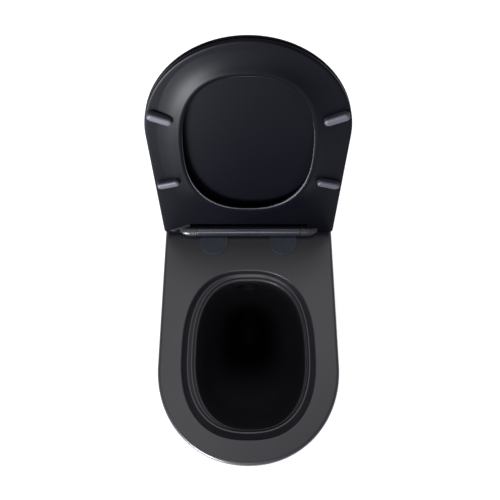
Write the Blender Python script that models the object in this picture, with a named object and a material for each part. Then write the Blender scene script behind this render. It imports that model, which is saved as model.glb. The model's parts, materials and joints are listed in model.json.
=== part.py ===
"""A floor-standing, back-to-wall toilet pan with a slim soft close seat and lid.

Metres, +Z up, front towards -Y. The origin is on the floor, under the middle of the whole object. The seat and
the lid turn on one axis along X, the hinge axis. Shapes near it are written as (x, ahead, up): ahead is the
distance in front of the axis and up the height over it. Seat and lid are drawn closed and then turned open.
"""

import math

import bmesh
import bpy
from mathutils import Matrix, Vector

# Driving dimensions
HALF_WIDTH = 0.182
FRONT = 0.477  # hinge axis to the front of the pan
DECK_BEHIND = 0.118  # hinge axis to the wall
RIM_HEIGHT = 0.400
AXIS_OVER_RIM = 0.014
OPEN_ANGLE = math.radians(102)
GAP = 0.0003  # clearance between pieces that touch in the real object
WALL = 0.012  # thickness of the fired clay
DECK_THICKNESS = 0.022

HINGE_Y = (FRONT - DECK_BEHIND) / 2
HINGE_Z = RIM_HEIGHT + AXIS_OVER_RIM

# Seat and lid, heights over the hinge axis
LID_FRONT = 0.4775
LID_WIDEST = 0.282
LID_REAR = -0.0085
SEAT_REAR = -0.0045  # its rear corners turn just under the lid
SEAT_TOP = 0.005
SEAT_UNDER = -0.0025
LID_UNDER = 0.007
LID_TOP = 0.014

# Hinge
BAR_RADIUS = 0.011
BAR_HALF = 0.111
BAR_FLAT = -0.0095
LUG_RADIUS = 0.0112
LID_LUG = (0.1116, 0.1243)
SEAT_LUG = (0.1247, 0.147)
SWEEP_RADIUS = 0.0123  # room around the axis for bar and lugs
NOTCH_AHEAD = 0.029  # the seat's rear edge between its lugs, behind which the bar shows
SHAFT_RADIUS = 0.0035
BORE_RADIUS = 0.0038
BUSH_RADIUS = 0.006
BUSH_HOLE = 0.0063
DAMPER_RADIUS = 0.0072
CHANNEL_HALF = 0.0705
BUTTON_ANGLE = math.radians(42)  # from straight ahead, upwards
BUTTON_HALF = 0.023

# Seat fixings
BOLT_X, BOLT_AHEAD, BOLT_RADIUS = 0.0775, 0.022, 0.004
DISC_X, DISC_AHEAD, DISC_RADIUS = 0.075, 0.019, 0.031
POST_X, POST_RADIUS, NECK_RADIUS = 0.060, 0.0042, 0.0030
NUT_TOP = RIM_HEIGHT - DECK_THICKNESS - 0.0085

# Water ways
INLET_HEIGHT, INLET_RADIUS, INLET_END = 0.345, 0.0275, -0.060
OUTLET_HEIGHT, OUTLET_END = 0.180, -0.075
SPIGOT_RADIUS, OUTLET_BORE = 0.051, 0.043

# Floor fixings
FOOT_AHEAD, FOOT_SCREW_HEIGHT = -0.060, 0.045

for old in list(bpy.data.objects):
    bpy.data.objects.remove(old)


# Materials


def material(name, colour, roughness, metallic):
    made = bpy.data.materials.new(name)
    made.use_nodes = True
    shader = made.node_tree.nodes["Principled BSDF"]
    shader.inputs["Base Color"].default_value = (*colour, 1.0)
    shader.inputs["Roughness"].default_value = roughness
    shader.inputs["Metallic"].default_value = metallic
    return made


# colour, roughness, metallic
CLAY = ((0.030, 0.030, 0.033), 0.45, 0.0)
SEAT_PLASTIC = ((0.022, 0.022, 0.026), 0.42, 0.0)
HINGE_PLASTIC = ((0.025, 0.028, 0.035), 0.35, 0.0)
COVER = ((0.040, 0.046, 0.056), 0.40, 0.6)
RUBBER = ((0.020, 0.020, 0.020), 0.80, 0.0)
STEEL = ((0.60, 0.60, 0.58), 0.35, 1.0)
NYLON = ((0.75, 0.75, 0.72), 0.50, 0.0)
GREY_PIPE = ((0.35, 0.36, 0.37), 0.50, 0.0)


# Shape helpers


def pan_point(x, ahead, z):
    """A point of the fixed parts, from its distance in front of the hinge axis and its height over the floor."""
    return Vector((x, HINGE_Y - ahead, z))


def add_object(name, mesh_builder, finish, location=(0, 0, 0), helper=False):
    """A smooth-shaded object from a filled bmesh, its faces pointing out."""
    bmesh.ops.recalc_face_normals(mesh_builder, faces=mesh_builder.faces)
    mesh = bpy.data.meshes.new(name)
    mesh_builder.to_mesh(mesh)
    mesh_builder.free()
    made = bpy.data.objects.new(name, mesh)
    bpy.context.scene.collection.objects.link(made)
    made.location = location
    if finish:
        mesh.materials.append(material(f"{name}_finish", *finish))
        mesh.shade_smooth()
        mesh.set_sharp_from_angle(angle=math.radians(35))
    if helper:
        made.hide_render = True
        made.display_type = "WIRE"
    return made


def loft(name, rings, finish=None, location=(0, 0, 0)):
    """A closed skin through rings of equally many points, with a flat cap on each end."""
    builder = bmesh.new()
    levels = [[builder.verts.new(point) for point in ring] for ring in rings]
    for low, high in zip(levels, levels[1:]):
        for i in range(len(low)):
            j = (i + 1) % len(low)
            builder.faces.new((low[i], low[j], high[j], high[i]))
    builder.faces.new(levels[0])
    builder.faces.new(levels[-1])
    return add_object(name, builder, finish, location, helper=finish is None)


def turned(name, profile, finish=None, location=(0, 0, 0), along="Z", steps=20):
    """A solid turned from (distance along, radius) pairs. Its two ends are closed, or joined up on a ring."""
    axes = {"X": (Vector((1, 0, 0)), Vector((0, 1, 0)), Vector((0, 0, 1)))}
    axes["Y"] = (Vector((0, 1, 0)), Vector((0, 0, 1)), Vector((1, 0, 0)))
    axes["Z"] = (Vector((0, 0, 1)), Vector((1, 0, 0)), Vector((0, 1, 0)))
    forward, first, second = axes[along]
    rings = []
    for distance, radius in profile:
        ring = []
        for i in range(steps):
            angle = 2 * math.pi * i / steps
            ring.append(forward * distance + (first * math.cos(angle) + second * math.sin(angle)) * radius)
        rings.append(ring)
    if profile[0] != profile[-1]:
        return loft(name, rings, finish, location)
    builder = bmesh.new()
    levels = [[builder.verts.new(point) for point in ring] for ring in rings[:-1]]
    for k in range(len(levels)):
        low, high = levels[k], levels[(k + 1) % len(levels)]
        for i in range(steps):
            j = (i + 1) % steps
            builder.faces.new((low[i], low[j], high[j], high[i]))
    return add_object(name, builder, finish, location, helper=finish is None)


def tube(name, start, end, outer, inner, finish, location, along):
    """A plain sleeve with a bore right through."""
    profile = [(start, outer), (end, outer), (end, inner), (start, inner), (start, outer)]
    return turned(name, profile, finish, location, along)


def block(name, low, high, finish=None, location=(0, 0, 0), frame=None):
    """A box between two corners, turned by frame when one is given."""
    builder = bmesh.new()
    bmesh.ops.create_cube(builder, size=1.0)
    size = Vector(high) - Vector(low)
    middle = (Vector(high) + Vector(low)) / 2
    bmesh.ops.transform(builder, matrix=Matrix.Diagonal((*size, 1.0)), verts=builder.verts)
    bmesh.ops.translate(builder, vec=middle, verts=builder.verts)
    if frame:
        bmesh.ops.transform(builder, matrix=frame, verts=builder.verts)
    return add_object(name, builder, finish, location, helper=finish is None)


def boolean(target, operation, *others):
    """Adds one live Boolean for each other object."""
    for other in others:
        modifier = target.modifiers.new(f"{operation.lower()}_{other.name}", "BOOLEAN")
        modifier.operation = operation
        modifier.object = other
        modifier.solver = "EXACT"
    return target


def bend(value, power):
    """The cosine or sine of a superellipse's parameter."""
    return math.copysign(abs(value) ** (2 / power), value)


def d_outline(half, widest, front, rear, power=2.0, inset=0.0, corner=0.006, steps=26):
    """(x, ahead) points of a D: a straight rear edge, parallel sides and a rounded front."""
    half, front, rear = half - inset, front - inset, rear + inset
    points = []
    for side in (1, -1):
        arc = [math.radians(a) for a in ((-90, -45, 0) if side == 1 else (0, -45, -90))]
        bends = [
            (side * (half - corner + corner * math.cos(a)), rear + corner + corner * math.sin(a)) for a in arc
        ]
        if side == 1:
            points += bends
            for i in range(steps + 1):
                angle = math.pi * i / steps
                x = half * bend(math.cos(angle), power)
                points.append((x, widest + (front - widest) * bend(math.sin(angle), power)))
        else:
            points += bends
    return points


def egg_outline(half, back, widest, front, shift=0.0, back_power=2.6, front_power=2.45, grow=0.0, steps=36):
    """(x, ahead) points of a closed egg, its two ends each half of a superellipse, shifted to one side."""
    half, back, front = half + grow, back - grow, front + grow
    points = []
    for i in range(steps):
        angle = 2 * math.pi * i / steps
        power = front_power if math.sin(angle) >= 0 else back_power
        reach = front - widest if math.sin(angle) >= 0 else widest - back
        x = half * bend(math.cos(angle), power)
        points.append((x + shift, widest + reach * bend(math.sin(angle), power)))
    return points


# Pan

# height, half width, distance ahead of its widest place, front
SKIRT = (
    (0.000, 0.158, 0.245, 0.406),
    (0.060, 0.160, 0.248, 0.411),
    (0.150, 0.166, 0.258, 0.425),
    (0.240, 0.1736, 0.270, 0.446),
    (0.310, 0.179, 0.280, 0.464),
    (0.360, HALF_WIDTH, 0.286, 0.4755),
    (0.394, HALF_WIDTH, 0.287, FRONT),
)
SKIRT_POWER = 2.08

# height, half width, back, widest, front and sideways shift of the bowl, from the rim down over the swirl
# ledge, which is wider on the left, to the sump
BOWL = (
    (0.3965, 0.1335, 0.0870, 0.2680, 0.4300, 0.0000),
    (0.3920, 0.1305, 0.0875, 0.2670, 0.4255, 0.0000),
    (0.3870, 0.1270, 0.0880, 0.2660, 0.4205, 0.0000),
    (0.3845, 0.1250, 0.0884, 0.2655, 0.4180, 0.0000),
    (0.3843, 0.1236, 0.0890, 0.2650, 0.4160, 0.0000),
    (0.3838, 0.1224, 0.0900, 0.2650, 0.4148, 0.0002),
    (0.3820, 0.1205, 0.0925, 0.2645, 0.4138, 0.0008),
    (0.3818, 0.1165, 0.0960, 0.2640, 0.4128, 0.0022),
    (0.3822, 0.1142, 0.0985, 0.2635, 0.4118, 0.0032),
    (0.3812, 0.1122, 0.1010, 0.2630, 0.4100, 0.0036),
    (0.3785, 0.1105, 0.1030, 0.2620, 0.4085, 0.0038),
    (0.3740, 0.1098, 0.1040, 0.2610, 0.4070, 0.0038),
    (0.3600, 0.1085, 0.1045, 0.2595, 0.4035, 0.0036),
    (0.3450, 0.1065, 0.1042, 0.2575, 0.4000, 0.0034),
    (0.3300, 0.1045, 0.1038, 0.2560, 0.3955, 0.0030),
    (0.3100, 0.1015, 0.1032, 0.2535, 0.3880, 0.0026),
    (0.2900, 0.0975, 0.1025, 0.2500, 0.3780, 0.0022),
    (0.2700, 0.0925, 0.1018, 0.2455, 0.3650, 0.0016),
    (0.2500, 0.0865, 0.1010, 0.2400, 0.3495, 0.0010),
    (0.2300, 0.0792, 0.1005, 0.2320, 0.3295, 0.0005),
    (0.2100, 0.0714, 0.1000, 0.2220, 0.3080, 0.0000),
    (0.1920, 0.0640, 0.1000, 0.2130, 0.2870, 0.0000),
    (0.1750, 0.0570, 0.1000, 0.2050, 0.2680, 0.0000),
    (0.1500, 0.0500, 0.1000, 0.1950, 0.2450, 0.0000),
    (0.1200, 0.0440, 0.1000, 0.1850, 0.2220, 0.0000),
    (0.0900, 0.0360, 0.1020, 0.1700, 0.1980, 0.0000),
    (0.0680, 0.0240, 0.1120, 0.1550, 0.1760, 0.0000),
    (0.0600, 0.0100, 0.1300, 0.1450, 0.1580, 0.0000),
)
RIM_ROUNDING = ((0.0100, 0.0024), (0.0, 0.0022), (-0.0012, 0.0008))  # over the rim, outward

# ahead, height, half width, half height, turn in degrees: the trapway from the sump to the soil pipe
TRAP = (
    (0.150, 0.088, 0.034, 0.020, 0),
    (0.118, 0.087, 0.038, 0.023, 0),
    (0.094, 0.090, 0.040, 0.026, 20),
    (0.072, 0.110, 0.041, 0.030, 58),
    (0.056, 0.148, 0.042, 0.034, 72),
    (0.036, 0.182, 0.043, 0.037, 50),
    (0.010, 0.199, 0.043, 0.040, 8),
    (-0.022, 0.188, 0.043, 0.042, -18),
    (-0.043, 0.1803, 0.043, 0.043, -4),
)


def skirt_ring(height, half, widest, front, inset=0.0, rear=-DECK_BEHIND):
    outline = d_outline(half, widest, front, rear - inset, SKIRT_POWER, inset, corner=0.004)
    return [pan_point(x, ahead, height) for x, ahead in outline]


def pan_outside():
    rings = [skirt_ring(*row) for row in SKIRT]
    top = SKIRT[-1][1:]
    for below, inset in ((0.0036, 0.0006), (0.0018, 0.0018), (0.0006, 0.0036), (0.0, 0.0060)):
        outline = d_outline(*top, -DECK_BEHIND, SKIRT_POWER, corner=0.004)
        ring = []
        for x, ahead in outline:
            # the rounded lip runs along the sides and the front, and the edge at the wall stays square
            share = min(1.0, max(0.0, (ahead + DECK_BEHIND) / 0.01))
            shrink_x = 1 - share * inset / HALF_WIDTH
            moved = ahead - share * inset if ahead > top[1] else ahead
            ring.append(pan_point(x * shrink_x, moved, RIM_HEIGHT - below))
        rings.append(ring)
    return rings


def hollow_rings():
    """The space inside the skirt, open at the floor and at the wall."""
    beyond = DECK_BEHIND + 0.03
    ceiling = RIM_HEIGHT - DECK_THICKNESS
    rings = [skirt_ring(-0.01, *SKIRT[0][1:], WALL, -beyond)]
    rings += [skirt_ring(*row, WALL, -beyond) for row in SKIRT[:-2]]
    for height, inset in ((0.362, WALL + 0.003), (ceiling - 0.004, WALL + 0.008), (ceiling, WALL + 0.018)):
        rings.append(skirt_ring(height, *SKIRT[-2][1:], inset, -beyond))
    return rings


def bowl_rings(grow=0.0, drop=0.0):
    rings = []
    over = RIM_ROUNDING if not grow else ()
    for rise, outward in over:
        outline = egg_outline(*BOWL[0][1:], grow=outward)
        rings.append([pan_point(x, ahead, RIM_HEIGHT + rise) for x, ahead in outline])
    for height, *sizes in BOWL:
        outline = egg_outline(*sizes, grow=grow)
        rings.append([pan_point(x, ahead, height - drop) for x, ahead in outline])
    return rings


def trap_rings(stations, thicker=0.0, steps=20):
    rings = []
    for ahead, height, half_width, half_height, turn in stations:
        tilt = math.radians(turn)
        across = Vector((half_width + thicker, 0, 0))
        centre = pan_point(0, ahead, height)
        # the way runs towards the wall, so "up" leans back by the turn
        up = Vector((0, -math.sin(tilt), math.cos(tilt))) * (half_height + thicker)
        rings.append(
            [
                centre + across * math.cos(2 * math.pi * i / steps) + up * math.sin(2 * math.pi * i / steps)
                for i in range(steps)
            ]
        )
    return rings


def make_pan():
    bowl_shell = loft("cut_bowl_shell", bowl_rings(WALL - 0.001, WALL))
    spigot = (OUTLET_END, OUTLET_HEIGHT, OUTLET_BORE, OUTLET_BORE, 0)
    past_spigot = (OUTLET_END - 0.02, OUTLET_HEIGHT, OUTLET_BORE, OUTLET_BORE, 0)
    trap_shell = loft("cut_trap_shell", trap_rings((*TRAP[1:], spigot), SPIGOT_RADIUS - OUTLET_BORE))
    inlet_at = pan_point(0, 0, INLET_HEIGHT)
    inlet_shell = turned(
        "cut_inlet_shell", [(-0.100, INLET_RADIUS + 0.010), (-INLET_END, INLET_RADIUS + 0.010)], None, inlet_at, "Y"
    )
    hollow = boolean(loft("cut_hollow", hollow_rings()), "DIFFERENCE", bowl_shell, trap_shell, inlet_shell)

    bowl = loft("cut_bowl", bowl_rings())
    trap = loft("cut_trap", trap_rings((*TRAP, spigot, past_spigot)))
    inlet = turned(
        "cut_inlet", [(-0.112, 0.0235), (0.035, 0.0235), (0.036, INLET_RADIUS), (0.080, INLET_RADIUS)], None,
        inlet_at, "Y",
    )
    pan = boolean(loft("pan", pan_outside(), CLAY), "DIFFERENCE", hollow, bowl, trap, inlet)
    for side in (1, -1):
        at = pan_point(side * BOLT_X, BOLT_AHEAD, 0)
        boolean(pan, "DIFFERENCE", turned(f"cut_bolt_{side}", [(0.36, 0.0075), (0.41, 0.0075)], None, at))
        at = pan_point(0, FOOT_AHEAD, FOOT_SCREW_HEIGHT)
        hole = [(side * 0.130, 0.0045), (side * 0.1525, 0.0045), (side * 0.1530, 0.0090), (side * 0.180, 0.0090)]
        boolean(pan, "DIFFERENCE", turned(f"cut_foot_{side}", hole, None, at, "X"))
    return pan


def make_water_ways():
    at = pan_point(0, 0, INLET_HEIGHT)
    body = turned(
        "flush_diverter",
        [(-0.0985, 0.0100), (-0.0965, 0.0150), (-0.0925, 0.0228), (-0.070, 0.0228), (-0.070, 0.0190),
         (-0.0915, 0.0190), (-0.0940, 0.0130), (-0.0955, 0.0090), (-0.0955, 0.0060), (-0.0985, 0.0060),
         (-0.0985, 0.0100)],
        HINGE_PLASTIC, at, "Y",
    )
    boolean(body, "DIFFERENCE", block("cut_diverter", (-0.03, -0.101, -0.004), (0.03, -0.088, 0.004), None, at))
    turned(
        "inlet_seal",
        [(0.0365, 0.0271), (0.062, 0.0271), (0.0625, 0.0330), (0.066, 0.0330), (0.068, 0.0228), (0.0365, 0.0228),
         (0.0365, 0.0271)],
        RUBBER, at, "Y",
    )
    tube("flush_pipe", 0.040, DECK_BEHIND, 0.0222, 0.0197, GREY_PIPE, at, "Y")
    at = pan_point(0, 0, OUTLET_HEIGHT)
    turned(
        "outlet_seal",
        [(0.050, 0.0514), (0.0735, 0.0514), (0.0735, 0.0545), (0.060, 0.0560), (0.050, 0.0560), (0.050, 0.0514)],
        RUBBER, at, "Y",
    )
    turned(
        "outlet_connector",
        [(0.049, 0.0564), (0.078, 0.0564), (0.084, 0.0525), (DECK_BEHIND, 0.0525), (DECK_BEHIND, 0.0552),
         (0.086, 0.0552), (0.080, 0.0600), (0.049, 0.0600), (0.049, 0.0564)],
        GREY_PIPE, at, "Y",
    )


def make_floor_fixings():
    for side, word in ((1, "right"), (-1, "left")):
        at = pan_point(0, FOOT_AHEAD, 0)
        inner, outer = 0.118, 0.1455
        low = (min(side * inner, side * outer), -0.018, GAP)
        high = (max(side * inner, side * outer), 0.018, 0.0035)
        foot = block(f"floor_bracket_{word}", low, high, NYLON, at)
        low = (min(side * 0.1400, side * outer), -0.018, 0.002)
        high = (max(side * 0.1400, side * outer), 0.018, 0.064)
        upright = block(f"cut_upright_{word}", low, high, None, at)
        floor_hole = turned(f"cut_floor_hole_{word}", [(-0.01, 0.0035), (0.01, 0.0035)], None,
                            at + Vector((side * 0.128, 0, 0)))
        level = at + Vector((0, 0, FOOT_SCREW_HEIGHT))
        pilot = turned(f"cut_pilot_{word}", [(side * 0.13, 0.0034), (side * 0.15, 0.0034)], None, level, "X")
        boolean(foot, "UNION", upright)
        boolean(foot, "DIFFERENCE", floor_hole, pilot)
        screw = [(0.1360, 0.0012), (0.1400, 0.0030), (0.1532, 0.0030), (0.1534, 0.0062), (0.1560, 0.0050)]
        turned(f"side_screw_{word}", [(side * d, r) for d, r in screw], STEEL, level, "X", steps=16)
        face = [(0.1568, 0.0060), (0.1570, 0.0087), (0.1601, 0.0087), (0.1605, 0.0105), (0.1616, 0.0098),
                (0.1620, 0.0060)]
        turned(f"side_cap_{word}", [(side * d, r) for d, r in face], HINGE_PLASTIC, level, "X")


# Seat fixings on the deck


def make_seat_fixings():
    top = RIM_HEIGHT
    for side, word in ((1, "right"), (-1, "left")):
        disc_at = pan_point(side * DISC_X, DISC_AHEAD, 0)
        bolt_at = pan_point(side * BOLT_X, BOLT_AHEAD, 0)
        post_at = pan_point(side * POST_X, 0, 0)
        plate = turned(f"fixing_plate_{word}", [(top + GAP, 0.0285), (top + 0.0011, 0.0285)], STEEL, disc_at)
        sink = [(top - 0.001, 0.0057), (top + 0.0003, 0.0070), (top + 0.0021, 0.0088)]
        boolean(plate, "DIFFERENCE", turned(f"cut_sink_{word}", sink, None, bolt_at))
        cover = turned(
            f"cover_disc_{word}",
            [(top + GAP, DISC_RADIUS), (top + 0.0022, DISC_RADIUS), (top + 0.0028, DISC_RADIUS - 0.0006)],
            COVER, disc_at, steps=40,
        )
        room = turned(f"cut_room_{word}", [(top - 0.001, 0.0292), (top + 0.0016, 0.0292)], None, disc_at)
        post_room = turned(f"cut_post_room_{word}", [(top + 0.001, 0.0065), (top + 0.004, 0.0065)], None, post_at)
        boolean(cover, "DIFFERENCE", room, post_room)
        neck_low, neck_high, head_top = top + 0.0100, top + 0.0138, top + 0.0165
        turned(
            f"hinge_post_{word}",
            [(top + 0.0014, 0.0060), (top + 0.0024, 0.0060), (top + 0.0028, POST_RADIUS), (neck_low, POST_RADIUS),
             (neck_low, NECK_RADIUS), (neck_high, NECK_RADIUS), (neck_high, POST_RADIUS),
             (head_top - 0.001, POST_RADIUS), (head_top, 0.0030)],
            STEEL, post_at, steps=16,
        )
        turned(
            f"seat_bolt_{word}",
            [(top - 0.075, 0.0030), (top - 0.074, BOLT_RADIUS), (top - 0.0035, BOLT_RADIUS),
             (top + 0.0003, 0.0066), (top + 0.0011, 0.0074)],
            STEEL, bolt_at, steps=20,
        )
        under = top - DECK_THICKNESS
        turned(
            f"bolt_washer_{word}",
            [(under - GAP, 0.0125), (under - 0.0040, 0.0125), (under - 0.0082, 0.0095), (under - 0.0082, 0.0044),
             (under - GAP, 0.0044), (under - GAP, 0.0125)],
            RUBBER, bolt_at, steps=20,
        )
        nut = tube(f"wing_nut_{word}", NUT_TOP - 0.014, NUT_TOP, 0.0080, 0.0043, NYLON, bolt_at, "Z")
        for wing_side in (1, -1):
            low = (min(wing_side * 0.0065, wing_side * 0.019), -0.0016, NUT_TOP - 0.018)
            high = (max(wing_side * 0.0065, wing_side * 0.019), 0.0016, NUT_TOP - 0.003)
            boolean(nut, "UNION", block(f"cut_wing_{word}_{wing_side}", low, high, None, bolt_at))


# Hinge bar and its release

HINGE_AT = (0, HINGE_Y, HINGE_Z)
# columns: along the bar, across the button, outward from the axis
OUTWARD = Vector((0, -math.cos(BUTTON_ANGLE), math.sin(BUTTON_ANGLE)))
ACROSS = Vector((0, math.sin(BUTTON_ANGLE), math.cos(BUTTON_ANGLE)))
BUTTON_FRAME = Matrix((Vector((1, 0, 0)), ACROSS, OUTWARD)).transposed().to_4x4()


def make_hinge_bar():
    bar = turned(
        "hinge_bar",
        [(-BAR_HALF, BAR_RADIUS - 0.0006), (-BAR_HALF + 0.0006, BAR_RADIUS), (BAR_HALF - 0.0006, BAR_RADIUS),
         (BAR_HALF, BAR_RADIUS - 0.0006)],
        HINGE_PLASTIC, HINGE_AT, "X", steps=40,
    )
    flat = block("cut_bar_flat", (-0.2, -0.02, -0.02), (0.2, 0.02, BAR_FLAT), None, HINGE_AT)
    channel = block("cut_channel", (-CHANNEL_HALF, -0.007, -0.02), (CHANNEL_HALF, 0.007, 0.005), None, HINGE_AT)
    pocket = block("cut_pocket", (-BUTTON_HALF - 0.0004, -0.0045, 0.001), (BUTTON_HALF + 0.0004, 0.0045, 0.02),
                   None, HINGE_AT, BUTTON_FRAME)
    boolean(bar, "DIFFERENCE", flat, channel, pocket)
    for side in (1, -1):
        bore = turned(f"cut_damper_{side}", [(side * 0.0720, 0.0075), (side * 0.12, 0.0075)], None, HINGE_AT, "X")
        boolean(bar, "DIFFERENCE", bore)
    plate = block("bar_under_plate", (-0.0702, -0.0067, BAR_FLAT), (0.0702, 0.0067, -0.0077), HINGE_PLASTIC, HINGE_AT)
    for side in (1, -1):
        at = Vector(HINGE_AT) + Vector((side * POST_X, 0, 0))
        boolean(plate, "DIFFERENCE", turned(f"cut_post_{side}", [(-0.02, 0.0046), (0, 0.0046)], None, at))


def make_release():
    face = BAR_RADIUS - 0.0002
    builder = bmesh.new()
    half_wide = 0.0042
    section = [(-half_wide, 0.0064), (half_wide, 0.0064)]
    for i in range(7):
        across = half_wide - 2 * half_wide * i / 6
        section.append((across, math.sqrt(face**2 - across**2)))
    ends = []
    for x in (-BUTTON_HALF, BUTTON_HALF):
        ends.append([builder.verts.new(BUTTON_FRAME @ Vector((x, across, out))) for across, out in section])
    for i in range(len(section)):
        j = (i + 1) % len(section)
        builder.faces.new((ends[0][i], ends[0][j], ends[1][j], ends[1][i]))
    builder.faces.new(ends[0])
    builder.faces.new(ends[1])
    button = add_object("release_button", builder, HINGE_PLASTIC, HINGE_AT)
    wedge = []
    for out, half in ((0.0012, 0.0035), (0.0068, 0.0062)):
        corners = ((-half, -0.0028), (half, -0.0028), (half, 0.0028), (-half, 0.0028))
        wedge.append([BUTTON_FRAME @ Vector((x, across, out)) for x, across in corners])
    boolean(button, "UNION", loft("cut_wedge", wedge, None, HINGE_AT))

    slider_low, slider_high = -0.0034, -0.0008
    for side, word in ((1, "right"), (-1, "left")):
        low = (min(side * 0.0070, side * 0.0660), -0.0066, slider_low)
        high = (max(side * 0.0070, side * 0.0660), 0.0066, slider_high)
        latch = block(f"latch_{word}", low, high, STEEL, HINGE_AT)
        eye_at = Vector(HINGE_AT) + Vector((side * 0.0565, 0, 0))
        eye = turned(f"cut_eye_{word}", [(-0.006, 0.0047), (0.002, 0.0047)], None, eye_at)
        low = (min(side * 0.0565, side * 0.0637), -0.0033, -0.006)
        high = (max(side * 0.0565, side * 0.0637), 0.0033, 0.002)
        boolean(latch, "DIFFERENCE", eye, block(f"cut_slot_{word}", low, high, None, HINGE_AT))


def make_button_spring():
    """A short coil behind the button's wedge, as long as it is with the button pressed home."""
    low, high, radius, wire, turns, sides = -0.0066, -0.0020, 0.0015, 0.0003, 3, 10
    steps = turns * sides
    rings = []
    for i in range(steps + 1):
        angle = 2 * math.pi * i / sides
        around = Vector((math.cos(angle), math.sin(angle), 0))
        centre = around * radius + Vector((0, 0, low + (high - low) * i / steps))
        section = [(1, 0), (0.5, 0.87), (-0.5, 0.87), (-1, 0), (-0.5, -0.87), (0.5, -0.87)]
        rings.append([BUTTON_FRAME @ (centre + around * wire * a + Vector((0, 0, wire * b))) for a, b in section])
    loft("button_spring", rings, STEEL, HINGE_AT)


def make_dampers():
    """Each cartridge sits in one end of the bar and turns its own shaft: lid on the left, seat on the right."""
    for side, name in ((-1, "lid_damper"), (1, "seat_damper")):
        profile = [(0.0725, 0.0072), (0.1107, 0.0072), (0.1107, BORE_RADIUS), (0.0900, BORE_RADIUS),
                   (0.0900, 0.0012), (0.0725, 0.0012), (0.0725, 0.0072)]
        turned(name, [(side * d, r) for d, r in profile], NYLON, HINGE_AT, "X")


# Seat and lid, drawn closed about the hinge axis

BUMPERS = ((0.1510, 0.328, 23.0), (0.1545, 0.162, -15.0))  # x, ahead, turn of the outer end towards the front
BUMPER_HALF_LENGTH, BUMPER_HALF_WIDTH = 0.0225, 0.0077
SEAT_OPENING = (0.1178, 0.0868, 0.240, 0.4160)  # half width, back, widest, front at the underside
BUFFERS = ((0.160, 0.250), (0.120, 0.395))


def slab_rings(levels, rear):
    """Rings of the seat or lid outline from (inset, up) pairs."""
    rings = []
    for inset, up in levels:
        outline = d_outline(HALF_WIDTH, LID_WIDEST, LID_FRONT, rear, 2.0, inset, corner=0.010)
        rings.append([Vector((x, -ahead, up)) for x, ahead in outline])
    return rings


def capsule_rings(x, ahead, turn, levels, steps=7):
    """Rings of a round-ended bar lying in the plane of the seat, from (inset, up) pairs."""
    slant = math.radians(turn)
    along = Vector((math.cos(slant), -math.sin(slant), 0))
    across = Vector((math.sin(slant), math.cos(slant), 0))
    rings = []
    for inset, up in levels:
        radius = BUMPER_HALF_WIDTH - inset
        reach = BUMPER_HALF_LENGTH - BUMPER_HALF_WIDTH
        ring = []
        for end in (1, -1):
            for i in range(steps):
                angle = math.pi * i / (steps - 1) - math.pi / 2
                if end == -1:
                    angle += math.pi
                point = along * (end * reach + radius * math.cos(angle)) + across * (radius * math.sin(angle))
                ring.append(Vector((x, -ahead, up)) + point)
        rings.append(ring)
    return rings


def axle_cut(name, low, high, radius, steps=32):
    """Room for what turns about the hinge axis, between two places along it."""
    return turned(name, [(low, radius), (high, radius)], None, HINGE_AT, "X", steps)


def opened(piece):
    """Turns a piece from closed to fully open about the hinge axis."""
    piece.rotation_euler.x = -OPEN_ANGLE
    return piece


def opening_rings(levels):
    """Rings of the seat's opening from (grow, up) pairs."""
    rings = []
    for grow, up in levels:
        outline = egg_outline(*SEAT_OPENING, back_power=2.35, front_power=2.5, grow=grow)
        rings.append([Vector((x, -ahead, up)) for x, ahead in outline])
    return rings


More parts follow.
